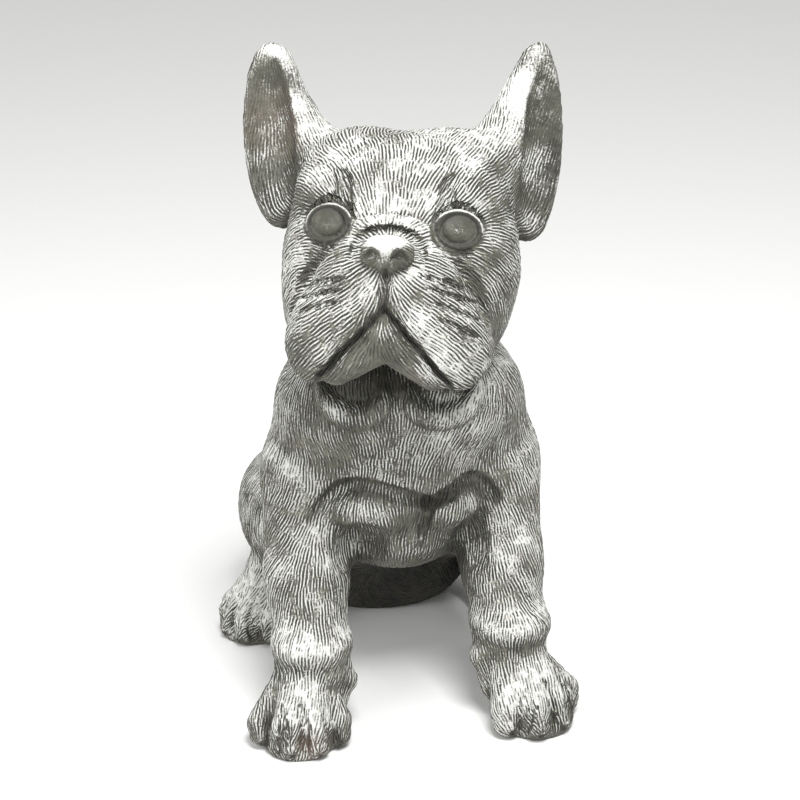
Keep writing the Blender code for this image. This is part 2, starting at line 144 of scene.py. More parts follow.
class Clay:
    """An ordered list of masses that are added or cut, each with how softly it blends."""

    def __init__(self):
        self.masses = []
        self.place = Matrix.Identity(4)

    def set_place(self, origin=(0, 0, 0), turn=(0, 0, 0), inside=None):
        """Gives the frame of the masses that follow, in parts and degrees."""
        angles = [np.radians(a) for a in turn]
        place = Matrix.Translation(Vector(origin)) @ Euler(angles, "XYZ").to_matrix().to_4x4()
        self.place = (inside or Matrix.Identity(4)) @ place
        return self.place

    def ball(self, centre, radii, soft, turn=(0, 0, 0), cut=False):
        """An ellipsoid, turned by degrees about its own centre."""
        angles = [np.radians(a) for a in turn]
        place = self.place @ Matrix.Translation(Vector(centre)) @ Euler(angles, "XYZ").to_matrix().to_4x4()
        self.press("ball", place, np.array(radii, np.float32), soft, cut, place.translation, max(radii))

    def limb(self, start, end, start_radius, end_radius, soft, flat=1.0, cut=False):
        """A tapered, round-ended rod. flat squeezes it along the frame's Y."""
        squeeze = np.array([1, 1 / flat, 1], np.float32)
        ends = (np.array(start, np.float32) * squeeze, np.array(end, np.float32) * squeeze)
        shape = (*ends, start_radius, end_radius, flat)
        middle = self.place @ ((Vector(start) + Vector(end)) / 2)
        radius = (Vector(end) - Vector(start)).length / 2 + max(start_radius, end_radius) * max(1, flat)
        self.press("limb", self.place, shape, soft, cut, middle, radius)

    def press(self, kind, place, shape, soft, cut, middle, radius):
        """Keeps a mass with the way into its own frame, and the sphere that it is felt in."""
        inward = np.array(place.inverted(), np.float32)
        felt = radius + soft + MARGIN
        self.masses.append((kind, inward, shape, soft, cut, np.array(middle, np.float32), felt))

    def roll(self, points, radii, soft, cut=False):
        """A fold or a groove along several points, as a chain of limbs."""
        for i in range(len(points) - 1):
            self.limb(points[i], points[i + 1], radii[i], radii[i + 1], soft, cut=cut)

    def laid(self, spots, sink, evened=0):
        """Spots given as (x, z), moved along the frame's Y onto the clay so far, evened out and sunk in."""
        points = np.array([(x, -REACH, z) for x, z in spots], float)
        turned = np.array(self.place)
        for _ in range(TRACE_STEPS):
            seen = points @ turned[:3, :3].T + turned[:3, 3]
            points[:, 1] += np.clip(form_at(seen, self.masses), -REACH, REACH / 4)
            points[:, 1] = np.clip(points[:, 1], -REACH, 0)
        for _ in range(evened):
            points[1:-1, 1] = (points[:-2, 1] + points[1:-1, 1] + points[2:, 1]) / 3
        points[:, 1] += sink
        return [tuple(point) for point in points]

    def groove(self, spots, radii, soft, sink=0.0, evened=0):
        self.roll(self.laid(spots, sink, evened), radii, soft, cut=True)

    def fold(self, spots, radii, soft, sink=0.0, evened=0):
        self.roll(self.laid(spots, sink, evened), radii, soft)


def curve(spots, pieces):
    """A smooth curve through a few spots, as many more spots (Catmull-Rom)."""
    ends = [2 * np.array(spots[0]) - np.array(spots[1])] + [np.array(spot, float) for spot in spots]
    ends.append(2 * ends[-1] - ends[-2])
    smooth = []
    for i in range(pieces + 1):
        along = min(i / pieces * (len(spots) - 1), len(spots) - 1 - 1e-9)
        k, t = int(along), along - int(along)
        a, b, c, d = ends[k:k + 4]
        bend = (2 * a - 5 * b + 4 * c - d) * t**2 + (3 * b - a - 3 * c + d) * t**3
        smooth.append(tuple((2 * b + (c - a) * t + bend) / 2))
    return smooth


def swelling(least, most, pieces):
    """Radii that swell from least at both ends to most in the middle."""
    return [least + (most - least) * np.sin(np.pi * i / pieces) ** 0.5 for i in range(pieces + 1)]


def in_frame(points, place):
    """Points as seen from inside a frame."""
    inverse = np.array(place.inverted(), np.float32)
    return points @ inverse[:3, :3].T + inverse[:3, 3]


def ball_distance(points, radii):
    near = np.sqrt(np.sum((points / radii) ** 2, axis=1))
    far = np.sqrt(np.sum((points / radii**2) ** 2, axis=1))
    return near * (near - 1) / np.maximum(far, 1e-9)


def limb_distance(points, ends):
    start, end, start_radius, end_radius, flat = ends
    along = end - start
    offset = points - start
    if flat != 1:
        offset = points * np.array([1, 1 / flat, 1], np.float32) - start
    share = np.clip(offset @ along / max(along @ along, 1e-9), 0, 1)
    reach = np.sqrt(np.sum((offset - share[:, None] * along) ** 2, axis=1))
    return (reach - (start_radius + share * (end_radius - start_radius))) * min(1, flat)


def blend(first, second, soft):
    """The smaller of two distances, with the crease between them filled over a width of soft."""
    mix = np.maximum(soft - np.abs(first - second), 0) / soft
    return np.minimum(first, second) - mix * mix * soft / 4


def pressed(distance, points, mass):
    """The distances after one more mass is added to the blend or cut from it."""
    kind, inward, shape, soft, cut = mass[:5]
    seen = points @ inward[:3, :3].T + inward[:3, 3]
    piece = ball_distance(seen, shape) if kind == "ball" else limb_distance(seen, shape)
    if cut:
        return -blend(-distance, piece, soft)
    return blend(distance, piece, soft)


def form_at(points, masses):
    """The distance from each point to the surface of the blended masses, in parts."""
    points = points.astype(np.float32)
    distance = np.full(len(points), FAR, np.float32)
    low, high = points.min(axis=0), points.max(axis=0)
    for mass in masses:
        middle, radius = mass[5:]
        if np.linalg.norm(np.maximum(0, np.maximum(low - middle, middle - high))) > radius:
            continue
        felt = np.sum((points - middle) ** 2, axis=1) < radius**2
        if felt.any():
            distance[felt] = pressed(distance[felt], points[felt], mass)
    return distance


def shared_form(points, masses):
    """The same as form_at, with the points shared out by place among the processors."""
    cells = np.floor(points / CELL).astype(int)
    order = np.lexsort(cells.T)
    groups = np.array_split(order, max(1, len(points) // GROUP))
    distance = np.empty(len(points), np.float32)
    with ThreadPoolExecutor() as pool:
        for group, found in zip(groups, pool.map(lambda some: form_at(points[some], masses), groups)):
            distance[group] = found
    return distance


def torso(clay):
    """Ribcage, belly, rump and the solid plug that the body sits on."""
    clay.set_place()
    clay.ball((4.5, -18, 150), (58, 62, 84), 20)
    clay.ball((2, 66, 84), (57, 60, 74), 22)
    clay.ball((5, 26, 124), (44, 64, 76), 22, turn=(-38, 0, 0))
    clay.ball((15, 74, 26), (60, 48, 40), 12)
    for side in SIDES:
        clay.ball((side * 42 + 6.5, -42, 146), (33, 42, 58), 16)


def neck(clay):
    clay.set_place()
    clay.limb((7, -14, 178), (6, -42, 248), 52.5, 46, 24)
    clay.ball((4, -66, 196), (46, 42, 32), 14)


def front_leg(clay, side, shift, shoulder):
    """Upper arm, forearm, wrist and dewclaw, down to the paw."""
    clay.set_place((shift, 0, 0))
    clay.limb((side * 56 + shoulder, -52, 138), (side * 57.5, -74, 84), 26, 23, 14)
    clay.limb((side * 57.5, -74, 84), (side * 58, -99, 38), 23, 20, 8)
    clay.ball((side * 58.5, -98, 54 + side), (22.5, 22, 12), 7)
    clay.limb((side * 46, -99, 46 + side * 4), (side * 38.5, -103, 35 + side * 4), 6.5, 5, 5)
    clay.limb((side * 40, -102, 33 + side * 4), (side * 46, -106, 20), 5, 7, 5)


def chest(clay):
    """The breast between the legs: a keel, two pectorals, the ruff above them, and the hollow armpits."""
    clay.set_place()
    clay.ball((3, -52, 110), (41, 41, 31), 12)
    clay.ball((6, -60, 146), (47, 42, 30), 12)
    clay.ball((-14, -65, 128), (31, 37, 19), 4)
    clay.ball((25, -64, 127), (24, 37, 20), 4)
    clay.ball((-25, -101, 104), (18, 26, 21), 2.5, cut=True)
    clay.ball((38, -101, 103), (13, 24, 20), 2.5, cut=True)
    clay.ball((44, -114, 130), (11, 15, 14), 6, turn=(0, -20, 0), cut=True)
    clay.ball((-18, -58, 184), (48, 45, 37), 14)
    clay.ball((27, -58, 184), (46, 45, 36), 14)
    clay.ball((12, -66, 164), (28, 36, 26), 12)
    left_edge = curve([(-52, 124), (-38, 141), (-24, 145.5), (-6, 142), (12, 134.5)], 14)
    right_edge = curve([(12, 134.5), (24, 140), (36, 144.5), (47, 138), (54, 127)], 12)
    clay.groove(left_edge, np.linspace(1.2, 2.6, 15), 5, evened=3)
    clay.groove(right_edge, np.linspace(2.6, 1.4, 13), 5, evened=3)
    clay.groove([(12, 135), (12.5, 128), (11, 117), (8, 104)], (1.6, 1.8, 1.6, 1.0), 3)


def dewlap(clay):
    """Two hanging folds of skin under the throat, each a crescent."""
    clay.set_place()
    for middle, across, drop in DEWLAPS:
        angles = np.radians(np.linspace(185, 355, 9))
        spots = [(middle + across * np.cos(a), 206 + drop * np.sin(a)) for a in angles]
        clay.fold(spots, (3, 4, 5, 5.5, 6, 5.5, 5, 4, 3), 4)


def paw(clay, side, centre, turn, size, wrist):
    """A paw with four toes, pointing to -Y of its own frame. wrist is how far in the leg comes down on it."""
    clay.set_place(centre, (0, 0, turn))
    wrist_end = (-side * wrist, 19 * size, 36 * size)
    clay.limb(wrist_end, (0, 4 * size, 13 * size), 15 * size, 16 * size, 8 * size)
    clay.ball((0, 6 * size, 9 * size), (21 * size, 21 * size, 12 * size), 8)
    clay.ball((side * size, -3 * size, 3 * size), (20 * size, 18 * size, 9 * size), 3)
    toes = [(side * toe[0] * size, toe[1] * size, toe[2] * size, toe[3] * size) for toe in TOES]
    for across, ahead, high, thick in toes:
        root = (across * 0.45 - side * wrist * 0.6, ahead * 0.5 + 14 * size, high + 16 * size)
        knuckle = (across, ahead + 2 * size, high)
        clay.limb(root, knuckle, thick + size, thick, 3)
        clay.limb(knuckle, (across * 1.03, ahead, 8 * size), thick, thick - 0.8 * size, 2)
    for near, far in zip(toes, toes[1:]):
        across = (near[0] + far[0]) / 2
        spots = [(across * 0.8, 29 * size), (across * 0.9, 21 * size)]
        spots += [(across * 1.02, 12 * size), (across * 1.05, 5)]
        clay.groove(spots, (1.0 * size, 1.9 * size, 2.1 * size, 1.2 * size), 2.5)


def hind_leg(clay, side, shift):
    clay.set_place()
    clay.ball((side * 48.5 + 1, 52, 70), (31, 47, 40), 10, turn=(-14, 0, 0))
    clay.limb((side * 62 + shift, 50, 28), (side * 70 + shift, 34, 18), 15, 13, 8)


def skull(clay):
    """Cranium, forehead, brows and cheeks."""
    clay.ball((0, 2, 12), (56, 54, 52), 20)
    for side in SIDES:
        clay.ball((side * 25 + 1.5, -8, 33.5 + side), (34, 38, 33), 12)
        clay.ball((side * 36 + 2, -16, -9), (28.5, 36, 41), 14)
        clay.ball((side * 34, -20, -34), (24.5, 32, 30), 10)
        clay.ball((side * 33, -34, 29), (20, 15, 13), 12)
    clay.ball((3, -38, 35), (24, 18, 24), 14)
    clay.ball((0, -42, 4), (40, 18, 28), 10)


def muzzle(clay):
    """The broad shield of the muzzle and the hanging upper lips."""
    for side in SIDES:
        clay.ball((side * 15, -57, -17), (23, 23, 24), 8)
        clay.ball((side * 30 + 1, -49, -37), (18.5, 26, 33), 8, turn=(0, -side * 38, 0))
        lip = [(side * 4.5, -70, -27), (side * 18, -65.5, -42)]
        lip += [(side * 30, -58.5, -55), (side * 38.5, -52, -63)]
        clay.roll(lip, (7.5, 8.5, 9.5, 10.5), 8)
    arch = [(-26, -56, -5), (-19, -62, 4), (-9, -65, 7.5), (0, -66, 8.5)]
    arch += [(9, -65, 7.5), (19, -62, 4), (26, -56, -5)]
    clay.roll(arch, (6, 6.5, 6.5, 6.5, 6.5, 6.5, 6), 4)


def jaw(clay):
    """The lower lip, an arch that fills the space between the upper lips."""
    clay.limb((0, -50, -34), (0, -57, -46), 15, 14, 1.5)
    for side in SIDES:
        clay.limb((0, -57, -45), (side * 26, -50, -64), 14.5, 10.5, 2)
    for side in SIDES:
        spots = [(side * (1 + 4 * i), -34.5 - 4.3 * i) for i in range(9)]
        clay.roll(clay.laid(spots, 0.3, 4), [1.9 + 0.08 * i for i in range(9)], 1.2, cut=True)


def eye(clay, place, side):
    """A blank eyeball in a shallow socket, and the rolled rims of the two lids."""
    clay.set_place(inside=place)
    x, z = side * EYE_OUT, EYE_UP
    spots = [(x, z), (x + side * 11, z), (x, z + 9), (x, z - 9)]
    centre, outer, top, bottom = (point[1] for point in clay.laid(spots, 0))
    middle = centre + 0.6
    lean = 0.7 * (outer - centre) * side
    tilt = 0.35 * (top - bottom)
    turn = (0, 0, side * 25)
    clay.ball((x, middle - 6.2, z), (14, 8, 12), 4, turn=turn, cut=True)
    clay.ball((x, middle + 4.8, z), (11.6, 7, 9.6), 1, turn=turn)
    steps = 20
    ring = []
    for i in range(steps + 1):
        along, up = np.cos(2 * np.pi * i / steps), np.sin(2 * np.pi * i / steps)
        ring.append((x + EYE_WIDTH * along, middle + lean * along + tilt * up, z + EYE_HEIGHT * up))
    for i in range(steps):
        rim = 1.7 if i < steps / 2 else 1.2
        clay.limb(ring[i], ring[i + 1], rim, rim, 1)


def nose(clay):
    """A broad pad above, two comma-shaped nostrils, and a narrow pillar between them."""
    clay.ball((0, -78, -2.5), (13.5, 11, 7), 1.5)
    clay.ball((0, -77.5, -8.5), (8, 9, 7), 2.5)
    for side in SIDES:
        clay.ball((side * 8.5, -78.5, -7), (5, 7.5, 5), 1.5)
        clay.groove([(side * 4, -8), (side * 7.5, -6.5), (side * 11, -9)], (1.5, 2.2, 1.3), 1, sink=0.6)
    clay.groove([(0, -8), (0, -12), (0, -17)], (0.6, 0.8, 1.2), 1.5)


def creases(clay):
    """Folds of the face: brows, the roll over the nose, the edge of the muzzle, the parting of the lips."""
    clay.groove([(0, -19), (0, -25), (0, -33)], (1.5, 1.8, 2.2), 3)
    over_nose = curve([(-19, -8), (-15, 3), (0, 7.5), (15, 3), (19, -8)], 12)
    clay.groove(over_nose, swelling(0.8, 1.8, 12), 2, evened=1)
    for side in SIDES:
        brow = curve([(side * 31, 38), (side * 27.5, 33), (side * 27, 25), (side * 23, 16)], 8)
        clay.groove(brow, swelling(0.8, 2, 8), 4, evened=1)
        spots = [(side * 24, 6), (side * 31, -3), (side * 41, -14), (side * 49, -28), (side * 53.5, -42)]
        edge = curve(spots, 12)
        clay.groove(edge, swelling(1.2, 2.6, 12), 4, evened=1)


def ear(clay, place, side, turn, lean, length, tip, flare):
    """A tall cupped ear: a leaf with a thick back and a hollow scooped out of its front."""
    clay.set_place((side * 67, 4, 22), (0, side * lean, turn), place)
    top = length - tip
    steps = 8
    heights = [top * i / steps for i in range(steps + 1)]
    widths = [13 + 19 * i / steps - (32 - tip) * (i / steps) ** 2 for i in range(steps + 1)]
    bend = [side * 1.2 * np.sin(np.pi * 0.8 * i / steps) for i in range(steps + 1)]
    for i in range(steps):
        low, high = (bend[i], 0, heights[i]), (bend[i + 1], 0, heights[i + 1])
        clay.limb(low, high, widths[i], widths[i + 1], 3, flat=0.52)
    clay.limb((-side * 25, 6, 22), (-side * 13, 5, 44), 18.5, flare, 8)
    clay.limb((-side * 13, 5, 44), (-side * 3, 3, top - 2), flare, tip * 0.7, 4)
    for i in range(steps):
        low, high = (bend[i] + side, -11, heights[i] + 3), (bend[i + 1] + side, -11, heights[i + 1] + 3)
        clay.limb(low, high, widths[i] - 3.2, widths[i + 1] - 3.2, 2.5, flat=0.8, cut=True)


def bulldog():
    """All the masses of the statue, in the order they are pressed on, and the frame of the head."""
    clay = Clay()
    head_place = clay.set_place(HEAD_PLACE, (0, 0, HEAD_YAW)).copy()
    head_place = head_place @ Euler((np.radians(HEAD_PITCH), 0, 0)).to_matrix().to_4x4()
    head_place = head_place @ Euler((0, np.radians(HEAD_ROLL), 0)).to_matrix().to_4x4()
    torso(clay)
    neck(clay)
    front_leg(clay, LEFT, 3.5, 2.5)
    front_leg(clay, RIGHT, 3, 1.5)
    chest(clay)
    dewlap(clay)
    for front in PAWS[:2]:
        paw(clay, *front)
    hind_leg(clay, LEFT, 1)
    hind_leg(clay, RIGHT, 18)
    for hind in PAWS[2:]:
        paw(clay, *hind)
    clay.set_place(inside=head_place)
    skull(clay)
    muzzle(clay)
    nose(clay)
    creases(clay)
    jaw(clay)
    for side in SIDES:
        eye(clay, head_place, side)
    ear(clay, head_place, LEFT, -12, 8, 90, 10, 10)
    ear(clay, head_place, RIGHT, 36, 1.5, 96, 7, 15)
    clay.set_place(inside=head_place)
    whiskers(clay)
    lid_creases(clay)
    ear_chips(clay)
    for side, centre, turn, size, _ in PAWS:
        claws(clay, side, centre, turn, size)
    return clay.masses, head_place


def points_of(data):
    """The vertices of a mesh, in metres."""
    points = np.empty(len(data.vertices) * 3, np.float32)
    data.vertices.foreach_get("co", points)
    return points.reshape(-1, 3).astype(float)


def slope_at(points, masses):
    """The distance to the clay at each point, and the direction in which it grows fastest."""
    corners = np.array([(1, 1, 1), (1, -1, -1), (-1, 1, -1), (-1, -1, 1)], float)
    around = [shared_form(points + corner * SLOPE_STEP, masses) for corner in corners]
    slope = sum(corner * value[:, None] for corner, value in zip(corners, around)) / (4 * SLOPE_STEP)
    return sum(around) / 4, slope


def placed(points, place):
    """Points or directions given in a frame, as seen from outside it."""
    turned = np.array(place)
    return np.array(points, float) @ turned[:3, :3].T + turned[:3, 3]


def wave(points, length, seed):
    """A smooth random field from -1 to 1: a few plane waves of about the given length."""
    draw = np.random.default_rng(seed)
    total = np.zeros(len(points))
    for _ in range(7):
        towards = draw.normal(size=3)
        towards /= np.linalg.norm(towards)
        pace = 2 * np.pi / (length * draw.uniform(0.7, 1.5))
        total += np.sin(points @ towards * pace + draw.uniform(0, 2 * np.pi))
    return total / 3.2


def near(points, middle, radius):
    """1 at a place, falling smoothly to 0 at a radius."""
    away = np.linalg.norm(points - np.array(middle, float), axis=1) / radius
    return np.clip(1 - away, 0, 1) ** 2 * (1 + 2 * np.clip(away, 0, 1))


def mirrored(rows):
    """Rows of (place, direction) given for the dog's left side, with their mirror images."""
    both = []
    for (x, y, z), (a, b, c) in rows:
        for side in SIDES:
            both.append(((side * x, y, z), (side * a, b, c)))
    return both


def combing(head_place):
    """The places that the coat's direction is known at, and the direction there, in the clay's frame."""
    head = [((0, -42, 42), (0, 0.3, 1)), ((0, -25, 58), (0, 0.9, 0.6)), ((0, 5, 64), (0, 1, 0.1)),
            ((0, 50, 30), (0, 0.5, -1)), ((0, -60, 14), (0, 0.5, 1)), ((0, 55, 0), (0, 0.2, -1))]
    head += mirrored([
        ((14, -42, 38), (0.2, 0.3, 1)), ((30, -40, 42), (0.55, 0.3, 1)), ((28, -15, 60), (0.5, 1, 0.5)),
        ((46, -28, 28), (1, 0.5, 0.35)), ((52, -12, 14), (1, 0.8, -0.3)), ((20, -50, 22), (0.25, 0.3, 1)),
        ((46, -34, -4), (1, 0.6, -0.5)), ((56, -8, -20), (0.1, 0.8, -0.8)), ((34, -42, -6), (1, 0.4, -0.5)),
        ((14, -74, -12), (1, 0.2, -0.1)), ((18, -72, -26), (1, 0.2, -0.35)),
        ((34, -64, -24), (1, 0.5, -0.25)), ((30, -66, -40), (1, 0.4, -0.55)),
        ((12, -76, -36), (0.8, 0.2, -0.8)), ((30, -60, -56), (0.7, 0.2, -1)),
        ((48, -44, -44), (0.5, 0.7, -0.7)), ((56, -10, -45), (0, 0.7, -1)), ((45, 30, 0), (0, 0.7, -1)),
        ((24, -50, 4), (0.9, 0.2, 0.3)), ((67, 8, 50), (0, 0.1, 1)), ((70, 8, 90), (0, 0.1, 1)),
        ((66, 10, 25), (0.3, 0.2, 1)),
    ])
    body = [((10, -100, 150), (0, 0, -1)), ((3, -90, 200), (0, -0.1, -1)), ((0, 50, 190), (0, 0.9, -1)),
            ((0, 105, 110), (0, 0.2, -1)), ((0, 20, 240), (0, 0.5, -1)), ((5, -100, 125), (0, 0, -1)),
            ((10, 120, 30), (0, 0, -1))]
    body += mirrored([
        ((34, -95, 195), (-0.45, 0, -1)), ((30, -100, 160), (-0.35, 0, -1)),
        ((58, -80, 180), (-0.1, 0.1, -1)), ((28, -100, 122), (-0.3, 0, -1)),
        ((74, -55, 165), (0.45, 0.2, -1)), ((78, -50, 130), (0.35, 0.1, -1)),
        ((58, -98, 120), (0.2, 0, -1)), ((58, -110, 80), (0.2, 0, -1)), ((60, -120, 50), (0.12, -0.1, -1)),
        ((78, -85, 80), (0.2, 0.2, -1)), ((64, -135, 24), (0, -0.8, -0.8)),
        ((74, -120, 18), (0.4, -0.8, -0.5)), ((60, 10, 170), (0.1, 0.8, -1)),
        ((78, 50, 90), (0.1, 0.1, -1)), ((74, 80, 60), (0, 0.4, -1)), ((85, 15, 20), (0.67, -0.74, -0.4)),
        ((60, -20, 210), (0.1, 0.5, -1)), ((45, 90, 60), (0, 0.4, -1)),
    ])
    turn = head_place.to_3x3().to_4x4()
    head_places = placed([row[0] for row in head], head_place)
    head_ways = placed([row[1] for row in head], turn)
    places = np.concatenate([head_places, [row[0] for row in body]])
    ways = np.concatenate([head_ways, [row[1] for row in body]])
    return places, ways / np.linalg.norm(ways, axis=1)[:, None]


def across_coat(points, normals, head_place):
    """The direction along the skin that is square to the hair: the carved strokes repeat along it."""
    places, ways = combing(head_place)
    flow = np.zeros_like(points)
    for place, way in zip(places, ways):
        away = np.sum((points - place) ** 2, axis=1)
        weight = np.exp(-away / (2 * COMB_REACH**2)) + 1e-6 / (away + 1)
        flow += weight[:, None] * way
    flow -= np.sum(flow * normals, axis=1)[:, None] * normals
    flow /= np.maximum(np.linalg.norm(flow, axis=1), 1e-9)[:, None]
    across = np.cross(normals, flow)
    sway = 0.22 * wave(points, 60, 3) + 0.1 * wave(points, 26, 4)
    return across * np.cos(sway)[:, None] + flow * np.sin(sway)[:, None]


def clay_of_lip(head_place):
    """The masses of the lower lip alone."""
    lip = Clay()
    lip.set_place(inside=head_place)
    lip.limb((0, -50, -34), (0, -57, -46), 14, 13, 1.5)
    for side in SIDES:
        lip.limb((0, -57, -45), (side * 26, -50, -64), 13.5, 9.5, 2)
    return lip.masses


def bare_places(points, normals, head_place):
    """How bare of hair each place is, how far out it is in the rings round the eyes, and how low in an ear.

    The eyes and their lids, the nose, the lower lip and the insides of the ears are bare.
    """
    seen = in_frame(points, head_place)
    facing = np.clip((-30 - seen[:, 1]) / 4, 0, 1)
    bare = np.zeros(len(points))
    rings = np.full(len(points), FAR)
    for side in SIDES:
        ring = np.hypot((seen[:, 0] - side * EYE_OUT) / EYE_WIDTH, (seen[:, 2] - EYE_UP) / EYE_HEIGHT)
        bare = np.maximum(bare, facing * np.clip((1.36 - ring) / 0.2, 0, 1))
        rings = np.minimum(rings, np.where(facing > 0.5, ring, FAR))
    bare = np.maximum(bare, near(seen, (0, -86, -5), 17) ** 0.5)
    bare = np.maximum(bare, np.clip(1 - shared_form(points, clay_of_lip(head_place)) / 1.5, 0, 1))
    ears = np.clip((np.abs(seen[:, 0]) - 52) / 5, 0, 1) * np.clip((seen[:, 2] - 24) / 8, 0, 1)
    ears *= np.clip(-normals[:, 1] * 3 - 0.4, 0, 1) * np.clip((seen[:, 1] + 22) / 6, 0, 1)
    upper = np.clip((seen[:, 2] - 45) / 30, 0, 1)
    return np.maximum(bare, ears * (0.3 + 0.45 * upper)), rings, ears * (1 - upper)


def gap(points, normals, masses, width):
    """How close other clay is, straight out from each place on the skin: from 1 down to 0 at the width."""
    return np.clip(1 - shared_form(points + normals * width, masses) / width, 0, 1)


def marks(points, normals, masses, head_place):
    """How much each place on the skin has of the carved coat, of dry-brushed white with painted light, of
    painted shade and of brown.
    """
    seen = in_frame(points, head_place)
    across, up = np.abs(seen[:, 0]), seen[:, 2]
    bare, rings, ears = bare_places(points, normals, head_place)
    low = np.clip((9 - points[:, 2]) / 8, 0, 1) * (points[:, 1] > -60)
    coat = np.clip(1 - bare, 0, 1) * (1 - 0.6 * low)

    # Painted shade darkens the creases, less so on the face, and darkens the mouth, the nostrils, the lids'
    # gaps, the top of each eyeball under its lid, the belly and the throat.
    crease_shade = 0.5 * gap(points, normals, masses, 1.8) + 0.45 * gap(points, normals, masses, 5)
    crease_shade += 0.75 * gap(points, normals, masses, 22) - 0.16
    face = np.clip((-34 - seen[:, 1]) / 12, 0, 1) * np.clip((up + 48) / 10, 0, 1)
    facing = seen[:, 1] < -40
    lip_line = np.abs(up + 34.5 + 1.075 * (across - 1))
    mouth = np.clip(1.25 - lip_line / 2.2, 0, 1) * (across < 37) * facing
    parting = np.clip(1.2 - across / 1.4, 0, 1) * (up < -13) * (up > -34) * facing
    nostrils = near(seen, (-7.5, -89, -8), 6.5) + near(seen, (7.5, -89, -8), 6.5)
    nostrils = np.clip(1.6 * nostrils, 0, 1)
    lid_gap = np.clip(1.2 - np.abs(rings - 0.97) / 0.1, 0, 1)
    lid_shade = np.clip((up - 9) / 8, 0, 1) * (rings < 1.05)
    belly = near(points, (12, 30, 30), 75)
    throat = near(points, (0, -62, 218), 34)
    hollow = np.clip(crease_shade, 0, 1) * (1 - 0.5 * face) + mouth + 0.6 * parting + nostrils
    hollow = np.clip(hollow + 0.8 * lid_gap + 0.5 * lid_shade + belly + 0.5 * throat, 0, 1)

    # The brush left chalk on the folds, in patches, and little on the bare parts. More chalk on what faces up
    # and less on what faces down is painted light from above, and less chalk in the hollows is painted shade.
    chalk_and_painted_light = 0.56 + 0.16 * wave(points, 55, 11) + 0.12 * wave(points, 18, 12)
    chalk_and_painted_light += 0.3 * np.clip(normals[:, 2], 0, 1) - 0.7 * np.clip(-normals[:, 2] - 0.25, 0, 1)
    chalk_and_painted_light -= 0.75 * hollow
    for middle, radius, amount in CHALK_AND_SHADE_ON_HEAD:
        chalk_and_painted_light += amount * near(seen, middle, radius)
    for middle, radius, amount in CHALK_AND_SHADE_ON_BODY:
        chalk_and_painted_light += amount * near(points, middle, radius)
    for middle, half, drop in DEWLAPS:
        for angle in np.radians(np.linspace(195, 345, 9)):
            fold = (middle + half * np.cos(angle), -101, 207 + drop * np.sin(angle))
            chalk_and_painted_light += 0.3 * near(points, fold, 9)
    rims = np.clip(1 - np.abs(rings - 1.13) / 0.12, 0, 1)
    plain = bare * (1 - near(seen, (0, -84, 0), 16)) * (across < 50)
    chalk_and_painted_light += 0.25 * rims * np.clip((up - 4) / 8, 0, 1) - 0.42 * plain * (1 - rims) - 0.08 * ears
    # A painted highlight: a pale spot in the middle of each eyeball.
    chalk_and_painted_light += 0.32 * np.clip(1.1 - rings / 0.7, 0, 1)
    # No chalk in the nostrils and the mouth, which are painted in shade.
    chalk_and_painted_light *= 1 - np.clip(nostrils + mouth, 0, 1)

    brown = np.zeros(len(points))
    for middle, radius, amount in BROWNED:
        brown += amount * near(points, middle, radius)
    return coat, np.clip(chalk_and_painted_light, 0, 1), hollow, np.clip(brown, 0, 1)


def whiskers(clay):
    """Long shallow grooves that fan out over the muzzle, three or four on each side."""
    for side, height, fall, inner, outer in WHISKERS:
        middle = (side * (inner + outer) / 2, height - 0.4 * fall)
        spots = curve([(side * inner, height), middle, (side * outer, height - fall)], 8)
        clay.groove(spots, swelling(0.3, 1.1, 8), 1.2, evened=1)


def lid_creases(clay):
    """The fold above each upper eyelid and the bag under each lower one."""
    for side in SIDES:
        above = curve([(side * 21, 14), (side * 27, 21.5), (side * 37, 23), (side * 47, 15)], 10)
        clay.groove(above, swelling(0.4, 1.1, 10), 1.5, evened=1)
        below = curve([(side * 24, 1), (side * 33, -2.5), (side * 43, 0)], 8)
        clay.groove(below, swelling(0.3, 0.8, 8), 1.5, evened=1)


def ear_chips(clay):
    """The torn notch low in each ear's outer edge."""
    clay.ball((-79, -14, 30), (7, 12, 1.8), 0.6, turn=(0, 8, 0), cut=True)
    clay.ball((79, -12, 30), (7, 12, 2), 0.6, turn=(0, -4, 0), cut=True)
    clay.ball((86, -12, 26), (5, 10, 4), 1.5, turn=(0, 20, 0), cut=True)


def claws(clay, side, centre, turn, size):
    """A blunt claw at the end of each toe."""
    clay.set_place(centre, (0, 0, turn))
    for outward, ahead, high, thick in TOES:
        across = side * outward * size * 1.03
        tip = ahead * size - (thick - 1.5) * size
        root, end = (across, tip + 1, 9.5 * size), (across * 1.02, tip - 1.6, 4.5 * size)
        clay.limb(root, end, 2.6 * size, 1.5 * size, 0.8)


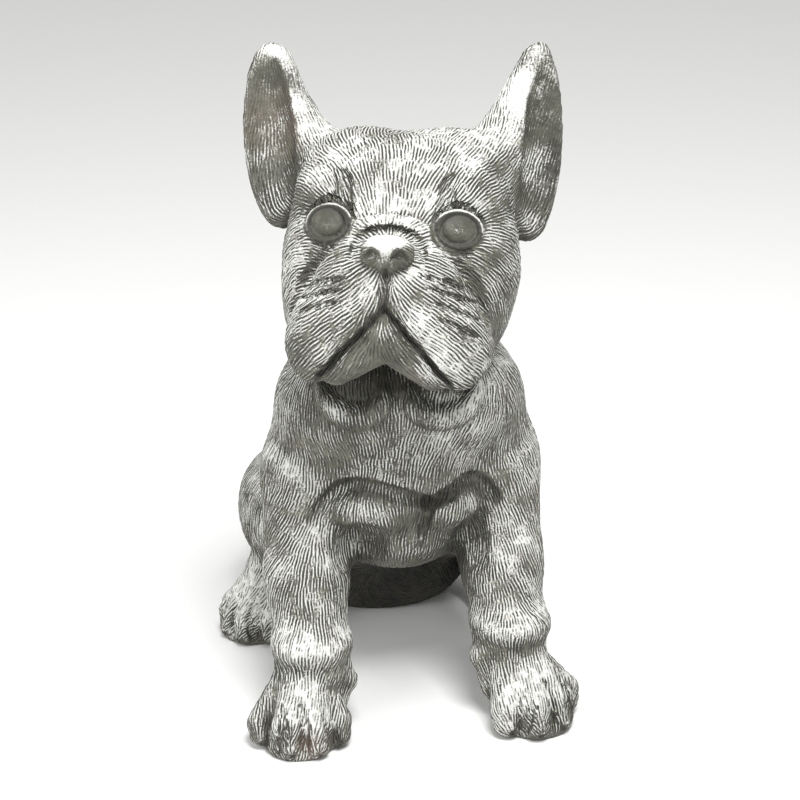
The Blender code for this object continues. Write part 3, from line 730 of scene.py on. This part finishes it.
def coat_relief():
    """The geometry nodes that press the strokes of the coat into a mesh of the statue, in metres."""
    tree = bpy.data.node_groups.new("coat_relief", "GeometryNodeTree")
    tree.interface.new_socket("Geometry", in_out="INPUT", socket_type="NodeSocketGeometry")
    tree.interface.new_socket("Geometry", in_out="OUTPUT", socket_type="NodeSocketGeometry")
    start = tree.nodes.new("NodeGroupInput")
    end = tree.nodes.new("NodeGroupOutput")
    place = tree.nodes.new("GeometryNodeInputPosition")
    normal = tree.nodes.new("GeometryNodeInputNormal")
    across = named(tree, "across", "FLOAT_VECTOR")
    coat = named(tree, "relief", "FLOAT")
    height = stroke_height(tree, place.outputs["Position"], across, LOCK_LENGTH, LOCK_WIDTH)
    amount = sum_of(tree, "MULTIPLY", height, coat)
    offset = tree.nodes.new("ShaderNodeVectorMath")
    offset.operation = "SCALE"
    tree.links.new(normal.outputs["Normal"], offset.inputs[0])
    tree.links.new(amount, offset.inputs["Scale"])
    move = tree.nodes.new("GeometryNodeSetPosition")
    tree.links.new(start.outputs["Geometry"], move.inputs["Geometry"])
    tree.links.new(offset.outputs["Vector"], move.inputs["Offset"])
    tree.links.new(move.outputs["Geometry"], end.inputs["Geometry"])
    return tree


def named(tree, name, kind):
    """The output of a node that reads an attribute of the mesh in geometry nodes."""
    node = tree.nodes.new("GeometryNodeInputNamedAttribute")
    node.data_type = kind
    node.inputs["Name"].default_value = name
    return [socket for socket in node.outputs if socket.enabled][0]


def sum_of(tree, operation, first, second=None, third=None):
    """The output of a Math node. Each input is a socket or a number."""
    node = tree.nodes.new("ShaderNodeMath")
    node.operation = operation
    for socket, value in zip(node.inputs, (first, second, third)):
        if isinstance(value, bpy.types.NodeSocket):
            tree.links.new(value, socket)
        elif value is not None:
            socket.default_value = value
    return node.outputs[0]


def stroke_height(tree, place, across, length, pitch):
    """The height of carved strokes, from -1 to 1: ridges that lie along the hair and fade at their ends."""
    strokes = tree.nodes.new("ShaderNodeTexGabor")
    strokes.gabor_type = "3D"
    strokes.inputs["Scale"].default_value = 1 / length
    strokes.inputs["Frequency"].default_value = length / pitch
    strokes.inputs["Anisotropy"].default_value = 1.0
    tree.links.new(place, strokes.inputs["Vector"])
    ways = [socket for socket in strokes.inputs if socket.identifier == "Orientation 3D"]
    tree.links.new(across, ways[0])
    turn = sum_of(tree, "MULTIPLY", strokes.outputs["Phase"], 2 * np.pi)
    ridge = sum_of(tree, "COSINE", turn)
    fade = tree.nodes.new("ShaderNodeMapRange")
    fade.inputs["From Min"].default_value = 0.05
    fade.inputs["From Max"].default_value = 0.3
    tree.links.new(strokes.outputs["Intensity"], fade.inputs["Value"])
    return sum_of(tree, "MULTIPLY", ridge, fade.outputs["Result"])


def store(data, name, values):
    """Writes values as an attribute of a mesh's vertices: numbers, or rows of three."""
    kind = "FLOAT_VECTOR" if values.ndim == 2 else "FLOAT"
    layer = data.attributes.get(name) or data.attributes.new(name, kind, "POINT")
    layer.data.foreach_set("vector" if values.ndim == 2 else "value", values.astype(np.float32).ravel())


def read_by(tree, name, output):
    """The output of an Attribute node of the shader."""
    node = tree.nodes.new("ShaderNodeAttribute")
    node.attribute_name = name
    return node.outputs[output]


def noise(tree, place, size, detail, rough):
    """The output of a noise whose largest grains are of the given size, in metres."""
    node = tree.nodes.new("ShaderNodeTexNoise")
    node.inputs["Scale"].default_value = 1 / size
    node.inputs["Detail"].default_value = detail
    node.inputs["Roughness"].default_value = rough
    tree.links.new(place, node.inputs["Vector"])
    return node.outputs["Fac"]


def ramp(tree, value, low, high, least=0.0, most=1.0):
    """A smooth step of a value from one level to another."""
    node = tree.nodes.new("ShaderNodeMapRange")
    node.interpolation_type = "SMOOTHSTEP"
    tree.links.new(value, node.inputs["Value"])
    for name, level in (("From Min", low), ("From Max", high), ("To Min", least), ("To Max", most)):
        node.inputs[name].default_value = level
    return node.outputs["Result"]


def mixed(tree, share, first, second):
    """A mix of two colours, each a socket or a colour. The share of the second is a socket."""
    node = tree.nodes.new("ShaderNodeMix")
    node.data_type = "RGBA"
    colours = [socket for socket in node.inputs if socket.type == "RGBA"]
    tree.links.new(share, node.inputs["Factor"])
    for socket, value in zip(colours, (first, second)):
        if isinstance(value, bpy.types.NodeSocket):
            tree.links.new(value, socket)
        else:
            socket.default_value = value
    return [socket for socket in node.outputs if socket.type == "RGBA"][0]


def painted_stone():
    """Dark olive paint on cast stone, with painted shade in the hollows, the pits and the grooves of the
    strokes, and white dry-brushed on the ridges, with painted light from above and a painted highlight on
    each eyeball.
    """
    material = bpy.data.materials.new("cast_stone_painted")
    material.use_nodes = True
    tree = material.node_tree
    shader = tree.nodes["Principled BSDF"]
    place = tree.nodes.new("ShaderNodeTexCoord").outputs["Object"]
    coat = read_by(tree, "coat", "Fac")
    chalk_and_painted_light = read_by(tree, "chalk_and_painted_light", "Fac")
    hollow = read_by(tree, "hollow", "Fac")
    brown = read_by(tree, "brown", "Fac")
    across = read_by(tree, "across", "Vector")
    strokes = stroke_height(tree, place, across, STROKE_LENGTH, STROKE_PITCH)
    grain = noise(tree, place, GRAIN, 3.0, 0.7)
    pits = noise(tree, place, PITS, 4.0, 0.65)
    blotches = noise(tree, place, BLOTCHES, 4.0, 0.6)
    carved = sum_of(tree, "MULTIPLY", strokes, coat)
    rough_skin = sum_of(tree, "MULTIPLY_ADD", pits, 1.6, -0.8)
    height = sum_of(tree, "ADD", carved, rough_skin)
    brushed = sum_of(tree, "MULTIPLY_ADD", chalk_and_painted_light, 3.2, -2.15)
    brushed = sum_of(tree, "ADD", brushed, sum_of(tree, "MULTIPLY", height, 1.2))
    brushed = sum_of(tree, "ADD", brushed, sum_of(tree, "MULTIPLY_ADD", grain, 3.6, -1.8))
    white = ramp(tree, brushed, -0.45, 0.85)
    olive = mixed(tree, ramp(tree, blotches, 0.35, 0.65), OLIVE, GREY_OLIVE)
    # Painted shade: the grooves of the strokes and the pits, and then the hollows, are darkened towards the
    # shade colour.
    olive = mixed(tree, ramp(tree, height, -1.0, 0.6, 0.8, 0.0), olive, SHADE_OLIVE)
    olive = mixed(tree, sum_of(tree, "MULTIPLY", hollow, 0.9), olive, SHADE_OLIVE)
    olive = mixed(tree, brown, olive, BROWN)
    chalky = mixed(tree, ramp(tree, pits, 0.3, 0.7), CHALK, CHALK_GREY)
    colour = mixed(tree, white, olive, chalky)
    tree.links.new(colour, shader.inputs["Base Color"])
    tree.links.new(ramp(tree, white, 0.0, 1.0, 0.62, 0.9), shader.inputs["Roughness"])
    bump = tree.nodes.new("ShaderNodeBump")
    bump.inputs["Strength"].default_value = 1.0
    bump.inputs["Distance"].default_value = STROKE_DEPTH
    tree.links.new(sum_of(tree, "MULTIPLY_ADD", grain, 0.25, height), bump.inputs["Height"])
    tree.links.new(bump.outputs["Normal"], shader.inputs["Normal"])
    return material


def clay_points(data):
    """The vertices of a mesh as points in the clay's frame."""
    return points_of(data) / PART + np.array(OUTLINE_MIDDLE)


def finished(data, masses, head_place):
    """Writes the coat's direction and the paint's marks, painted shade and painted light among them, on a
    mesh that lies on the clay.
    """
    points = clay_points(data)
    _, slope = slope_at(points, masses)
    normals = slope / np.maximum(np.linalg.norm(slope, axis=1), 1e-9)[:, None]
    coat, chalk_and_painted_light, hollow, brown = marks(points, normals, masses, head_place)
    store(data, "across", across_coat(points, normals, head_place))
    store(data, "coat", coat)
    store(data, "chalk_and_painted_light", chalk_and_painted_light)
    store(data, "hollow", hollow)
    store(data, "brown", brown)


def on_the_face(points, head_place):
    """Which points are on the front of the face, where the carving is finest."""
    seen = in_frame(points, head_place)
    return (seen[:, 1] < -34) & (np.abs(seen[:, 0]) < 52) & (seen[:, 2] < 42) & (seen[:, 2] > -72)


def drawn(data, masses, rounds, where=None):
    """Moves a mesh, or the part of it that is asked for, onto the clay, and keeps it above the ground."""
    points = clay_points(data)
    some = np.arange(len(points)) if where is None else np.flatnonzero(where(points))
    for _ in range(rounds):
        away, slope = slope_at(points[some], masses)
        below = -points[some, 2]
        slope[below > away] = (0, 0, -1)
        away = np.maximum(away, below)
        length = np.linalg.norm(slope, axis=1)[:, None]
        move = -away[:, None] * slope / np.maximum(length, 0.3) ** 2
        far = np.linalg.norm(move, axis=1)[:, None]
        points[some] += move * np.minimum(1, LONGEST_MOVE / np.maximum(far, 1e-9))
    points = (points - np.array(OUTLINE_MIDDLE)) * PART
    data.vertices.foreach_set("co", points.astype(np.float32).ravel())
    data.update()


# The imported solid's own mesh is the start: copied, welded, and laid out in small even cells.
statue_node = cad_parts["bulldog_statue"]
statue_node.select_set(True)
bpy.context.view_layer.objects.active = statue_node
bpy.ops.object.duplicate()
statue = bpy.context.active_object
statue.name = "statue_cast"
statue.parent = None
for key in list(statue.keys()):
    del statue[key]
bpy.ops.object.mode_set(mode="EDIT")
bpy.ops.mesh.select_all(action="SELECT")
bpy.ops.mesh.remove_doubles(threshold=WELD)
bpy.ops.mesh.customdata_custom_splitnormals_clear()
bpy.ops.object.mode_set(mode="OBJECT")

skin = statue.modifiers.new("skin", "REMESH")
skin.mode = "VOXEL"
skin.voxel_size = SKIN_CELL
bpy.ops.object.modifier_apply(modifier="skin")

# It is drawn onto the clay, and the front of the face once more with cells of half the size.
masses, head_place = bulldog()
drawn(statue.data, masses, SKIN_ROUNDS)
on_face = on_the_face(clay_points(statue.data), head_place)
statue.data.polygons.foreach_set("select", np.zeros(len(statue.data.polygons), bool))
statue.data.edges.foreach_set("select", np.zeros(len(statue.data.edges), bool))
statue.data.vertices.foreach_set("select", on_face)
bpy.ops.object.mode_set(mode="EDIT")
bpy.ops.mesh.select_mode(type="VERT")
bpy.ops.mesh.subdivide(number_cuts=1, quadcorner="INNERVERT", ngon=False)
bpy.ops.object.mode_set(mode="OBJECT")
drawn(statue.data, masses, SKIN_ROUNDS, lambda points: on_the_face(points, head_place))

# Locks of hair are pressed in, shallower on the back and not on the bare parts or the soles.
points = clay_points(statue.data)
normals = np.empty(len(points) * 3, np.float32)
statue.data.vertices.foreach_get("normal", normals)
normals = normals.reshape(-1, 3).astype(float)
bare, _, _ = bare_places(points, normals, head_place)
behind = np.clip((points[:, 1] - 10) / 50, 0, 1)
sole = np.clip(points[:, 2] / 3, 0, 1)
store(statue.data, "relief", LOCK_DEPTH * (1 - bare) * sole * (1 - 0.3 * behind))
store(statue.data, "across", across_coat(points, normals, head_place))
carved = statue.modifiers.new("carved", "NODES")
carved.node_group = coat_relief()
bpy.ops.object.modifier_apply(modifier="carved")

# The mesh is thinned, except round the eyes and the nose, and painted.
seen = in_frame(clay_points(statue.data), head_place)
kept = np.zeros(len(seen), bool)
for middle, radius in KEPT_FINE:
    kept |= np.linalg.norm(seen - np.array(middle), axis=1) < radius
thinned = statue.vertex_groups.new(name="thinned")
thinned.add(np.flatnonzero(~kept).tolist(), 1.0, "REPLACE")
thin = statue.modifiers.new("thin", "DECIMATE")
thin.vertex_group = "thinned"
most = MOST_TRIANGLES
thin.ratio = min(1, most / (2 * len(statue.data.polygons)))
bpy.ops.object.modifier_apply(modifier="thin")
finished(statue.data, masses, head_place)
statue.data.materials.clear()
statue.data.materials.append(painted_stone())
statue.data.shade_smooth()
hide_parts("bulldog_statue")
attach(statue, "root")

# Floor
# A plain pale floor under the statue, wide enough to fill the view.
bpy.ops.mesh.primitive_plane_add(size=6, location=(0, 0, -0.0002))
floor = bpy.context.active_object
floor.name = "floor"
floor_paint = bpy.data.materials.new("floor_paint")
floor_paint.use_nodes = True
floor_shader = floor_paint.node_tree.nodes["Principled BSDF"]
floor_shader.inputs["Base Color"].default_value = (0.86, 0.86, 0.85, 1)
floor_shader.inputs["Roughness"].default_value = 0.9
floor.data.materials.append(floor_paint)

# Light
# Soft daylight: an even pale sky, one wide lamp high in front, and a weak one from the left.
# Each lamp has its name, its place and size in metres, and its power in watts.
LAMPS = (("key", (0.1, -0.8, 1.7), 0.7, 34), ("side", (-1.2, -0.5, 0.8), 0.6, 7))
LAMPS_AIM = (0, 0, 0.18)
SKY_STRENGTH = 0.62
scene = bpy.context.scene
sky = bpy.data.worlds.new("sky")
sky.use_nodes = True
sky.node_tree.nodes["Background"].inputs["Color"].default_value = (1, 1, 1, 1)
sky.node_tree.nodes["Background"].inputs["Strength"].default_value = SKY_STRENGTH
scene.world = sky
scene.view_settings.view_transform = "Standard"
for name, place, size, power in LAMPS:
    lamp = bpy.data.objects.new(name, bpy.data.lights.new(name, "AREA"))
    lamp.data.size = size
    lamp.data.energy = power
    lamp.location = place
    lamp.rotation_euler = (Vector(LAMPS_AIM) - Vector(place)).to_track_quat("-Z", "Y").to_euler()
    scene.collection.objects.link(lamp)

# Camera
# The photograph's own view: from in front, a little to the dog's right, and looking down. Its place is in the
# statue's parts, its turn in degrees, and its focal length is given as a share of the picture's width.
CAMERA_PLACE = (-198.6, -1122.6, 610.0)
CAMERA_TURN = (68.427, 0, -10.754)
FOCAL_SHARE = 2053.6 / 800
camera = bpy.data.objects.new("camera", bpy.data.cameras.new("camera"))
camera.location = [(a - b) * PART for a, b in zip(CAMERA_PLACE, OUTLINE_MIDDLE)]
camera.rotation_euler = [np.radians(a) for a in CAMERA_TURN]
camera.data.lens = FOCAL_SHARE * camera.data.sensor_width
scene.collection.objects.link(camera)
scene.camera = camera
